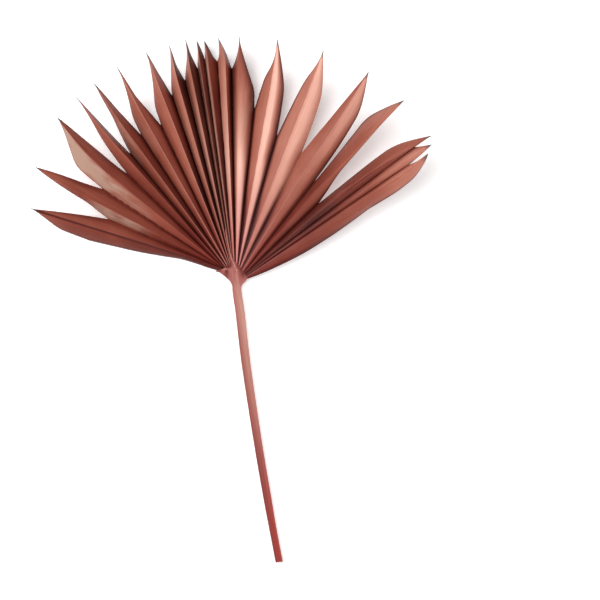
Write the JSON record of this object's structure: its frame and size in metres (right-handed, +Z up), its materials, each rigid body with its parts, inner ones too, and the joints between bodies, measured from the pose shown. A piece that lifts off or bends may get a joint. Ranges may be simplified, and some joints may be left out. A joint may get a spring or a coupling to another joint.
{
  "type": "dried palm spear",
  "caption": "Dried fan palm frond painted a dull copper red: a pleated fan of pointed segments, split toward the rim, on a slim round stalk, lying on its back",
  "frame": {"origin": "centre of the bounding box in plan, on the surface that the frond lies on", "axes": "+Y runs from the cut end of the stalk to the tips of the fan, +X to the right seen from above with the fan away from the viewer, +Z up"},
  "size_m": [0.3044, 0.3978, 0.047],
  "materials": {
    "dried_palm": "satin"
  },
  "bodies": {
    "root": {"palm_frond": "dried_palm"}
  },
  "joints": []
}
